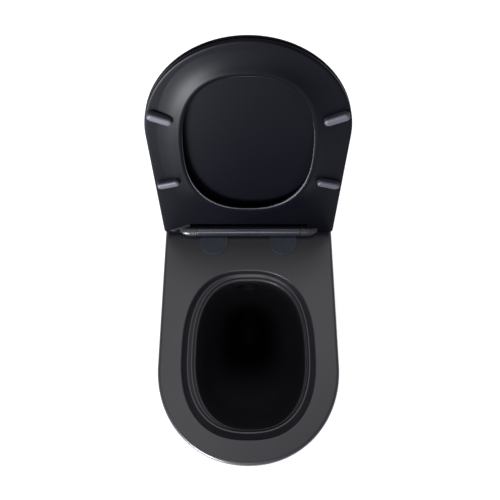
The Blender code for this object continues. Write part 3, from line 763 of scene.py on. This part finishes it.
@dataclass
class PanBody(Assembly):
    """The clay body: skirt, rim, bowl, trapway, spigot and inlet."""

    wall: float = 0.012
    deck: float = 0.022
    skirt: Rows = (
        (0.000, 0.1572, 0.245, 0.4052), (0.0008, 0.158, 0.245, 0.406), (0.06, 0.16, 0.248, 0.411),
        (0.105, 0.1629, 0.253, 0.4172), (0.15, 0.166, 0.258, 0.425), (0.195, 0.1698, 0.264, 0.435),
        (0.24, 0.1736, 0.27, 0.446), (0.275, 0.1765, 0.275, 0.4555), (0.31, 0.179, 0.28, 0.464),
        (0.335, 0.1807, 0.284, 0.4705), (0.36, 0.182, 0.286, 0.4752), (0.38, 0.182, 0.287, 0.4768),
        (0.392, 0.182, 0.287, 0.477),
    )
    bowl: Rows = (
        (0.3965, 0.1335, 0.087, 0.268, 0.43, 0.0), (0.392, 0.1305, 0.0875, 0.267, 0.4255, 0.0),
        (0.387, 0.127, 0.088, 0.266, 0.4205, 0.0), (0.3845, 0.125, 0.0884, 0.2655, 0.418, 0.0),
        (0.3843, 0.1236, 0.089, 0.265, 0.416, 0.0), (0.3838, 0.1224, 0.09, 0.265, 0.4148, 0.0002),
        (0.3816, 0.1203, 0.0927, 0.2645, 0.4136, 0.0009),
        (0.3802, 0.1188, 0.0942, 0.2643, 0.4132, 0.0014),
        (0.3803, 0.1166, 0.096, 0.264, 0.4127, 0.0022), (0.3822, 0.1142, 0.0985, 0.2635, 0.4118, 0.0032),
        (0.3812, 0.1122, 0.101, 0.263, 0.41, 0.0036),
        (0.3785, 0.1105, 0.103, 0.262, 0.4085, 0.0038), (0.374, 0.1098, 0.104, 0.261, 0.407, 0.0038),
        (0.36, 0.1085, 0.1045, 0.2595, 0.4035, 0.0036), (0.345, 0.1065, 0.1042, 0.2575, 0.4, 0.0034),
        (0.33, 0.1045, 0.1038, 0.256, 0.3955, 0.003), (0.31, 0.1015, 0.1032, 0.2535, 0.388, 0.0026),
        (0.29, 0.0975, 0.1025, 0.25, 0.378, 0.0022), (0.27, 0.0925, 0.1018, 0.2455, 0.365, 0.0016),
        (0.25, 0.0865, 0.101, 0.24, 0.3495, 0.001), (0.23, 0.0792, 0.1005, 0.232, 0.3295, 0.0005),
        (0.21, 0.0714, 0.1, 0.222, 0.308, 0.0), (0.192, 0.064, 0.1, 0.213, 0.287, 0.0),
        (0.175, 0.057, 0.1, 0.205, 0.268, 0.0), (0.15, 0.05, 0.1, 0.195, 0.245, 0.0),
        (0.12, 0.044, 0.1, 0.185, 0.222, 0.0), (0.09, 0.036, 0.102, 0.17, 0.198, 0.0),
        (0.068, 0.024, 0.112, 0.155, 0.176, 0.0), (0.06, 0.01, 0.13, 0.145, 0.158, 0.0),
    )
    trap: Rows = (
        (0.15, 0.088, 0.034, 0.02, 0), (0.118, 0.087, 0.038, 0.023, 0), (0.094, 0.09, 0.04, 0.026, 20),
        (0.072, 0.11, 0.041, 0.03, 58), (0.056, 0.148, 0.042, 0.034, 72),
        (0.036, 0.182, 0.043, 0.037, 50), (0.01, 0.199, 0.043, 0.04, 8),
        (-0.022, 0.188, 0.043, 0.042, -18), (-0.043, 0.1803, 0.043, 0.043, -4),
    )
    trap_wall: float = 0.008
    spigot_end: float = -0.075
    spigot_bore: float = 0.043
    outlet_height: float = 0.18
    inlet_height: float = 0.345
    inlet_shell: Pairs = ((-0.1, 0.0375), (0.06, 0.0375))
    inlet: Pairs = (
        (-0.112, 0.0235), (0.035, 0.0235), (0.036, 0.0275), (0.08, 0.0275),
    )
    cove: Pairs = ((0.016, 0.003), (0.004, 0.008), (0.0, 0.018))
    lip: Pairs = (
        (0.007, 0.0001), (0.0052, 0.00045), (0.0037, 0.001), (0.0024, 0.00185), (0.0013, 0.003),
        (0.0005, 0.0044), (0.0001, 0.0058), (0.0, 0.0072),
    )
    rim_round: Pairs = (
        (0.01, 0.0034), (0.0, 0.0034), (-0.0002, 0.0024), (-0.0008, 0.0014), (-0.0017, 0.0006),
        (-0.0026, 0.0002),
    )
    bolt_x: float = 0.0775
    bolt_ahead: float = 0.022
    bolt_hole: Pairs = ((0.36, 0.0075), (0.41, 0.0075))
    foot_ahead: float = -0.06
    foot_height: float = 0.045
    foot_hole: Pairs = (
        (0.13, 0.0045), (0.1525, 0.0045), (0.153, 0.009), (0.18, 0.009),
    )
    glaze: MattGlaze = field(default_factory=MattGlaze)

    def skirt_shape(self, half: float, widest: float, front: float, rear: float) -> DShape:
        """The skirt's outline at one height."""
        return DShape(half, widest, front, rear, power=2.08, corner=0.004, front_steps=120)

    def outside(self) -> list[Ring]:
        """Rings of the outer skin, up to the rounded lip.

        Returns:
            The rings, from the floor to the rim.
        """
        rings: list[Ring] = []
        for height, *sizes in self.skirt:
            outline = self.skirt_shape(*sizes, WALL_BEHIND).points()
            rings.append([HINGE.fixed(x, ahead, height) for x, ahead in outline])
        top = self.skirt[-1]
        outline = self.skirt_shape(*top[1:], WALL_BEHIND).points()
        for below, inset in self.lip:
            ring: Ring = []
            for x, ahead in outline:
                share = min(1.0, max(0.0, (ahead - WALL_BEHIND) / 0.01))
                shift = share * inset
                centre = min(ahead, top[2])
                away = Vector((x, ahead - centre, 0))
                away = away * (1 - shift / max(away.length, 1e-6))
                ring.append(HINGE.fixed(away.x, centre + away.y, RIM_TOP - below))
            rings.append(ring)
        return rings

    def hollow(self) -> list[Ring]:
        """Rings of the space inside the skirt."""
        ceiling = RIM_TOP - self.deck
        levels = [(-0.01, *self.skirt[0][1:], self.wall)]
        levels += [(*row, self.wall) for row in self.skirt[1:-3]]
        last = self.skirt[-3][1:]
        levels += [(ceiling - below, *last, self.wall + inset) for below, inset in self.cove]
        rings: list[Ring] = []
        for height, half, widest, front, inset in levels:
            shape = self.skirt_shape(half, widest, front, WALL_BEHIND - 0.03 - inset)
            rings.append([HINGE.fixed(x, ahead, height) for x, ahead in shape.points(inset)])
        return rings

    def bowl_rings(self, grow: float = 0.0, drop: float = 0.0) -> list[Ring]:
        """Rings of the bowl, or of its outer shell.

        Args:
            grow: Distance outwards, 0 for the bowl itself.
            drop: Distance down.

        Returns:
            The rings, from the rim to the sump.
        """
        rings: list[Ring] = []
        if not grow:
            for rise, outward in self.rim_round:
                outline = EggShape(*self.bowl[0][1:]).points(outward)
                rings.append([HINGE.fixed(x, ahead, RIM_TOP + rise) for x, ahead in outline])
        for height, *sizes in smoothed(self.bowl, 2):
            outline = EggShape(*sizes).points(grow)
            rings.append([HINGE.fixed(x, ahead, height - drop) for x, ahead in outline])
        return rings

    def trap_rings(self, stations: Rows, thicker: float = 0.0) -> list[Ring]:
        """Rings along the trapway.

        Args:
            stations: Ahead, height, half width, half height and turn in degrees of each.
            thicker: Added to both halves.

        Returns:
            The rings, rounded between the stations.
        """
        rings: list[Ring] = []
        for ahead, height, half_width, half_height, turn in smoothed(stations, 4):
            tilt = math.radians(turn)
            up = Vector((0, -math.sin(tilt), math.cos(tilt))) * (half_height + thicker)
            centre = HINGE.fixed(0, ahead, height)
            angles = [2 * math.pi * i / 64 for i in range(64)]
            rings.append([centre + Vector(((half_width + thicker) * math.cos(a), 0, 0)) + up * math.sin(a)
                          for a in angles])
        return rings

    def duct(self, name: str, profile: Pairs) -> Piece:
        """A round body along Y at the flush inlet."""
        return Bench.turned(name, profile, lambda d, a, b: HINGE.fixed(a, -d, self.inlet_height + b))

    def build(self) -> None:
        """Makes the clay body."""
        spigot, beyond = (
            (end, self.outlet_height, self.spigot_bore, self.spigot_bore, 0.0)
            for end in (self.spigot_end, self.spigot_end - 0.02)
        )
        hollow = Bench.loft("hollow_tool", self.hollow())
        Bench.cut(hollow, Bench.loft("bowl_shell", self.bowl_rings(self.wall - 0.001, self.wall)))
        shell = self.trap_rings((*self.trap[1:], spigot), self.trap_wall)
        Bench.cut(hollow, Bench.loft("trap_shell", shell))
        Bench.cut(hollow, self.duct("inlet_shell", self.inlet_shell))
        pan = Bench.loft("pan_body", self.outside())
        Bench.cut(pan, hollow)
        Bench.cut(pan, Bench.loft("bowl_tool", self.bowl_rings()))
        Bench.cut(pan, Bench.loft("trap_tool", self.trap_rings((*self.trap, spigot, beyond))))
        Bench.cut(pan, self.duct("inlet_tool", self.inlet))
        for side in Side:
            sign = side.value
            bolt = Bench.upright("bolt_tool", self.bolt_hole, sign * self.bolt_x, self.bolt_ahead)
            Bench.cut(pan, bolt)
            foot = Bench.turned(
                "foot_tool", self.foot_hole,
                lambda d, a, b, s=sign: HINGE.fixed(s * d, self.foot_ahead + a, self.foot_height + b), 32,
            )
            Bench.cut(pan, foot)
        Bench.smooth(pan)
        self.keep(pan, "pan", "pan", self.glaze)


@dataclass
class SeatAndLid(Assembly):
    """The seat ring and the lid, both turned open."""

    half: float = 0.182
    widest: float = 0.282
    front: float = 0.4775
    lid_rear: float = -0.0085
    seat_rear: float = -0.0045
    notch_ahead: float = 0.029
    sweep: float = 0.0123
    lug: float = 0.0112
    lid_lug: tuple[float, float] = (0.1116, 0.1243)
    seat_lug: tuple[float, float] = (0.1247, 0.147)
    seat_levels: Pairs = (
        (0.006, -0.0025), (0.0038, -0.0025), (0.0024, -0.0023), (0.0012, -0.0018), (0.0004, -0.0009),
        (0.0, 0.0002), (0.0, 0.0026), (0.0002, 0.0034), (0.0008, 0.0042), (0.0017, 0.0047),
        (0.003, 0.005),
        (0.034, 0.0044),
    )
    collar: Pairs = (
        (-0.012, -0.008), (0.0002, -0.0082), (0.001, -0.0085), (0.0022, -0.0089), (0.0036, -0.0092),
        (0.005, -0.0094), (0.0064, -0.0095), (0.008, -0.0093), (0.01, -0.0087), (0.0125, -0.0079),
        (0.015, -0.007), (0.02, -0.0055), (0.025, -0.0045), (0.03, -0.0037), (0.035, -0.0032),
        (0.04, -0.0028), (0.044, -0.0026), (0.048, -0.0021), (0.036, 0.0005),
    )
    opening: Pairs = (
        (0.0012, -0.02), (0.0012, -0.0088), (0.0006, -0.0082), (0.0002, -0.0077), (0.0, -0.0071),
        (0.0, -0.0064), (0.0002, -0.0055), (0.0006, -0.004), (0.0012, -0.0018), (0.002, 0.0),
        (0.003, 0.0014), (0.004, 0.0025), (0.0052, 0.0034), (0.0065, 0.0041), (0.0085, 0.0047),
        (0.011, 0.0052), (0.011, 0.02),
    )
    lid_levels: Pairs = (
        (0.06, 0.0104), (0.042, 0.0102), (0.03, 0.0097), (0.021, 0.0089), (0.015, 0.0079),
        (0.0115, 0.00715), (0.009, 0.007), (0.0026, 0.007), (0.0012, 0.0073), (0.0004, 0.0079),
        (0.0, 0.0087), (0.0, 0.0112), (0.0003, 0.0121), (0.0009, 0.0129), (0.0019, 0.0135),
        (0.0034, 0.014), (0.02, 0.015), (0.06, 0.016),
    )
    play: float = 0.0008
    shaft_bore: float = 0.0038
    bush_bore: float = 0.0063
    pad_half: float = 0.0077
    pad_reach: float = 0.0225
    pad_pocket: Pairs = ((-0.0003, -0.02), (-0.0003, -0.002))
    pad_levels: Pairs = (
        (0.0002, -0.0023), (0.0, -0.0028), (0.0, -0.0098), (0.0002, -0.0108), (0.0008, -0.0118),
        (0.0016, -0.0126), (0.0027, -0.0132), (0.004, -0.0136), (0.0055, -0.0137),
    )
    bumpers: tuple[tuple[str, float, float, float], ...] = (
        ("front", 0.151, 0.328, 23.0), ("rear", 0.1545, 0.162, -15.0),
    )
    buffers: Pairs = ((0.16, 0.25), (0.12, 0.395))
    buffer_pocket: Pairs = ((0.0, 0.0063), (0.0112, 0.0063))
    resin: SeatResin = field(default_factory=SeatResin)
    rubber: Rubber = field(default_factory=Rubber)

    def slab(self, levels: Pairs, rear: float) -> list[Ring]:
        """Rings of the outline that seat and lid share, from (inset, up) pairs and a rear edge."""
        shape = DShape(self.half, self.widest, self.front, rear, corner=0.01, front_steps=120)
        return [[HINGE.raised(x, ahead, up) for x, ahead in shape.points(inset)] for inset, up in levels]

    @staticmethod
    def egg(name: str, levels: Pairs) -> Piece:
        """A body with the opening's outline, from (grow, up) pairs."""
        shape = EggShape(*SEAT_OPENING, 0.0, 2.35, 2.5)
        rings = [[HINGE.raised(x, ahead, up) for x, ahead in shape.points(grow)] for grow, up in levels]
        return Bench.loft(name, rings)

    @staticmethod
    def axle(name: str, profile: Pairs, steps: int = 64) -> Piece:
        """A round body along the hinge axis."""
        return Bench.turned(name, profile, HINGE.raised, steps)

    def capsule(self, name: str, spot: Sequence[float], levels: Pairs) -> Piece:
        """A round-ended pad in the plane of the seat.

        Args:
            name: The object's name.
            spot: Its x, its distance ahead, and its slant in degrees.
            levels: Pairs of inset and height over the axis.

        Returns:
            The pad, turned open with the seat.
        """
        x, ahead, turn = spot
        slant = math.radians(turn)
        along, across = (math.cos(slant), math.sin(slant)), (math.sin(slant), -math.cos(slant))
        rings: list[Ring] = []
        for inset, up in levels:
            radius, reach = self.pad_half - inset, self.pad_reach - self.pad_half
            ring: Ring = []
            for end in (1, -1):
                for i in range(17):
                    angle = math.pi * i / 16 - math.pi / 2 + (math.pi if end < 0 else 0)
                    u, v = end * reach + radius * math.cos(angle), radius * math.sin(angle)
                    out, on = along[0] * u + across[0] * v, along[1] * u + across[1] * v
                    ring.append(HINGE.raised(x + out, ahead + on, up))
            rings.append(ring)
        return Bench.loft(name, rings)

    def dome(self, side: Side) -> Piece:
        """The bullet-shaped ear at one end of the seat."""
        near, far = self.seat_lug
        profile = [(near, self.lug)]
        for i in range(1, 17):
            angle = math.pi / 2 * i / 17
            profile.append((near + (far - near) * math.sin(angle), self.lug * math.cos(angle)))
        return self.axle("seat_ear", [(side.value * d, r) for d, r in profile])

    def build_seat(self) -> None:
        """Makes the seat ring and its four pads."""
        seat = Bench.loft("seat_ring", self.slab(self.seat_levels, self.seat_rear))
        Bench.join(seat, self.egg("collar_tool", self.collar))
        Bench.cut(seat, self.egg("opening_tool", self.opening))
        reach = self.lid_lug[1] + self.play
        low, high = (-reach, -0.03, -0.03), (reach, self.notch_ahead, 0.03)
        Bench.cut(seat, Bench.brick("notch_tool", low, high, HINGE.raised))
        for side in Side:
            sign = side.value
            Bench.join(seat, self.dome(side))
            hole = self.shaft_bore if side is Side.RIGHT else self.bush_bore
            Bench.cut(seat, self.axle("bore_tool", [(sign * 0.12, hole), (sign * 0.139, hole)], 32))
            for place, x, ahead, turn in self.bumpers:
                spot = (sign * x, ahead, sign * turn)
                Bench.cut(seat, self.capsule("pocket_tool", spot, self.pad_pocket))
                pad = self.capsule(f"pad_{place}_{side.word}", spot, self.pad_levels)
                Bench.smooth(pad, 50)
                self.keep(pad, "seat", f"seat_bumper_{place}_{side.word}", self.rubber)
        Bench.smooth(seat)
        self.keep(seat, "seat", "seat", self.resin)

    def build_lid(self) -> None:
        """Makes the lid."""
        lid = Bench.loft("lid_shell", self.slab(self.lid_levels, self.lid_rear))
        reach = self.seat_lug[1] + 0.0015
        Bench.cut(lid, self.axle("sweep_tool", [(-reach, self.sweep), (reach, self.sweep)], 96))
        near, far = self.lid_lug
        for side in Side:
            sign = side.value
            Bench.join(lid, self.axle("lug_tool", [(sign * near, self.lug), (sign * far, self.lug)]))
            xs = sorted((sign * (near + 0.0004), sign * (far - 0.0004)))
            low, high = (xs[0], -0.0065, 0.001), (xs[1], 0.009, 0.0125)
            Bench.join(lid, Bench.brick("web_tool", low, high, HINGE.raised))
            hole = self.bush_bore if side is Side.RIGHT else self.shaft_bore
            Bench.cut(lid, self.axle("bore_tool", [(sign * 0.105, hole), (sign * 0.13, hole)], 32))
            for x, ahead in self.buffers:
                pocket = Bench.turned(
                    "buffer_tool", self.buffer_pocket,
                    lambda d, a, b, u=sign * x, v=ahead: HINGE.raised(u + a, v + b, d), 32,
                )
                Bench.cut(lid, pocket)
        Bench.smooth(lid)
        self.keep(lid, "lid", "lid", self.resin)

    def build(self) -> None:
        """Makes both."""
        self.build_seat()
        self.build_lid()


@dataclass
class HingeBar(Assembly):
    """The bar between the lugs, with the release button's pocket, and the two cover discs."""

    half: float = 0.111
    radius: float = 0.011
    end_round: Pairs = ((0.0, -0.001), (0.0003, -0.0004), (0.001, 0.0))
    flat: float = -0.0095
    channel: tuple[float, float, float] = (0.0705, 0.007, 0.005)
    pocket: tuple[float, float, float] = (0.0234, 0.0052, 0.02)
    pocket_floor: tuple[float, float] = (-0.0046, 0.001)
    damper_bore: float = 0.0075
    button_angle: float = math.radians(42)
    disc_x: float = 0.075
    disc_ahead: float = 0.019
    disc_radius: float = 0.031
    disc_room: float = 0.0292
    disc_face: Pairs = (
        (0.0007, 0.0), (0.0003, 0.0002), (0.0, 0.0008), (0.0, 0.0022), (0.00025, 0.0032), (0.0003, 0.03),
    )
    post_x: float = 0.06
    post_radius: float = 0.0065
    plastic: SatinPlastic = field(default_factory=lambda: SatinPlastic((0.01, 0.0115, 0.0165), 0.17))
    disc: CoatedDisc = field(default_factory=CoatedDisc)

    def at_axis(self, x: float, ahead: float, up: float) -> Vector:
        """A point by its place about the hinge axis, unturned."""
        return HINGE.fixed(x, ahead, HINGE.z + up)

    def slanted(self, x: float, across: float, out: float) -> Vector:
        """A point by its place along the button's own direction."""
        cosine, sine = math.cos(self.button_angle), math.sin(self.button_angle)
        return self.at_axis(x, out * cosine - across * sine, out * sine + across * cosine)

    def build_bar(self) -> None:
        """Makes the bar with its channel, pocket and damper bores."""
        ends = [(self.half - x, self.radius + r) for x, r in self.end_round]
        profile = [(-x, r) for x, r in ends] + list(reversed(ends))
        bar = Bench.turned("bar", profile, self.at_axis, 96)
        long, deep, high = self.channel
        near, low = self.pocket_floor
        for name, corner, far, place in (
            ("flat_tool", (-0.2, -0.02, -0.02), (0.2, 0.02, self.flat), self.at_axis),
            ("channel_tool", (-long, -deep, -0.02), (long, deep, high), self.at_axis),
            ("pocket_tool", (-self.pocket[0], near, low), self.pocket, self.slanted),
        ):
            Bench.cut(bar, Bench.brick(name, corner, far, place))
        for side in Side:
            bore = [(side.value * x, self.damper_bore) for x in (0.072, 0.12)]
            Bench.cut(bar, Bench.turned("bore_tool", bore, self.at_axis, 48))
        Bench.smooth(bar)
        self.keep(bar, "pan", "hinge_bar", self.plastic)

    def build_discs(self) -> None:
        """Makes the two cover discs, each dished a little with a turned edge."""
        for side in Side:
            node = f"cover_disc_{side.word}"
            x, (low, top) = side.value * self.disc_x, (corner[2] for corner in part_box(node))
            profile = [(low, self.disc_radius - 0.0003), (low + 0.0002, self.disc_radius)]
            profile += [(top - below, self.disc_radius - inset) for below, inset in self.disc_face]
            disc = Bench.upright(f"disc_{side.word}", profile, x, self.disc_ahead, 128)
            room = [(low - 0.001, self.disc_room), (low + 0.0013, self.disc_room)]
            Bench.cut(disc, Bench.upright("room_tool", room, x, self.disc_ahead, 64))
            post = [(low, self.post_radius), (top + 0.002, self.post_radius)]
            Bench.cut(disc, Bench.upright("post_tool", post, side.value * self.post_x, 0.0))
            Bench.smooth(disc)
            self.keep(disc, "pan", node, self.disc)

    def build(self) -> None:
        """Makes the bar and the discs."""
        self.build_bar()
        self.build_discs()


class CarriedNodes(Assembly):
    """The nodes whose shape stays, each with its own finish."""

    def build(self) -> None:
        """Dresses every node that nothing replaces."""
        white = SatinPlastic((0.72, 0.71, 0.67), 0.42, 0.00003)
        grey = SatinPlastic((0.27, 0.28, 0.29), 0.4, 0.00003)
        black = SatinPlastic((0.01, 0.0115, 0.0165), 0.17)
        # Near black and rough: painted shade, so the flush diverter sinks into the dark at the back of
        # the bowl.
        shade_black = SatinPlastic((0.0006, 0.0006, 0.0007), 0.75)
        steel, rubber = ZincSteel(), Rubber()
        by_start = (
            ("seat_damper", white), ("lid_damper", white), ("lid_bush", white), ("seat_bush", white),
            ("lid_shaft", steel), ("seat_shaft", steel), ("lid_buffer", rubber), ("inlet_seal", rubber),
            ("outlet_seal", rubber), ("bolt_washer", rubber), ("flush_pipe", grey),
            ("outlet_connector", grey), ("flush_diverter", shade_black), ("floor_bracket", white),
            ("side_screw", steel), ("side_cap", black), ("fixing_plate", steel), ("hinge_post", steel),
            ("seat_bolt", steel), ("bar_under_plate", black), ("button_spring", steel),
            ("latch", steel), ("release_button", black), ("wing_nut", white),
        )
        for node in frame["nodes"]:
            for start, finish in by_start:
                if node.startswith(start):
                    self.dress(node, finish)
                    break


class Studio:
    """Floor, soft lights and camera."""

    def build(self) -> None:
        """Sets the stage."""
        self.floor()
        self.lights()
        self.camera()

    @staticmethod
    def floor() -> None:
        """A plain pale floor."""
        Bench.clear()
        bpy.ops.mesh.primitive_plane_add(size=14, location=(0, 0, 0))
        plane = bpy.context.object
        plane.name = "studio_floor"
        graph = Graph("studio_floor_paint")
        paint = graph.finish(
            Base_Color=(0.93, 0.93, 0.94, 1), Roughness=0.9,
            Emission_Color=(1, 1, 1, 1), Emission_Strength=0.45,
        )
        plane.data.materials.append(paint)

    @staticmethod
    def lights() -> None:
        """A white room with four soft lights: above, upper left, in front and low on the left."""
        world = bpy.data.worlds.new("studio_room")
        bpy.context.scene.world = world
        world.use_nodes = True
        world.node_tree.nodes["Background"].inputs[0].default_value = (0.975, 0.965, 1.06, 1)
        world.node_tree.nodes["Background"].inputs[1].default_value = 0.6
        for name, where, target, size, power, spread, colour in (
            ("top_light", (0, 0.95, 2.8), (0, 0.0, 0.4), 1.7, 16, 180, (1, 1, 1)),
            ("key_light", (-0.55, -0.3, 2.2), (0, 0.05, 0.4), 0.7, 3.2, 180, (1, 1, 1)),
            ("front_light", (-0.1, -2.1, 1.9), (0, 0.2, 0.6), 0.8, 13, 180, (1, 1, 1)),
            ("low_light", (-1.1, -1.5, 0.5), (-0.12, 0.27, 0.82), 1.0, 22, 44, (0.94, 0.955, 1.0)),
        ):
            data = bpy.data.lights.new(name, "AREA")
            data.shape, data.size, data.energy = "SQUARE", size, power
            data.spread, data.color = math.radians(spread), colour
            lamp = bpy.data.objects.new(name, data)
            bpy.context.scene.collection.objects.link(lamp)
            lamp.location = where
            lamp.rotation_euler = (Vector(target) - Vector(where)).to_track_quat("-Z", "Y").to_euler()

    @staticmethod
    def camera() -> None:
        """A camera over the front of the pan, looking down at the raised seat."""
        data = bpy.data.cameras.new("camera")
        data.lens, data.sensor_width = 41.76, 36
        data.clip_start, data.clip_end = 0.05, 50
        eye = bpy.data.objects.new("camera", data)
        bpy.context.scene.collection.objects.link(eye)
        eye.location = (0.003, HINGE.y - 0.52728, HINGE.z + 1.14291)
        eye.rotation_euler = (math.acos(0.92125), 0, 0)
        bpy.context.scene.camera = eye
        bpy.context.scene.view_settings.view_transform = "Standard"


def main() -> None:
    """Builds everything in order."""
    logging.basicConfig(level=logging.INFO, format="%(name)s: %(message)s")
    PanBody().build()
    SeatAndLid().build()
    HingeBar().build()
    CarriedNodes().build()
    Studio().build()


if __name__ == "__main__":
    main()
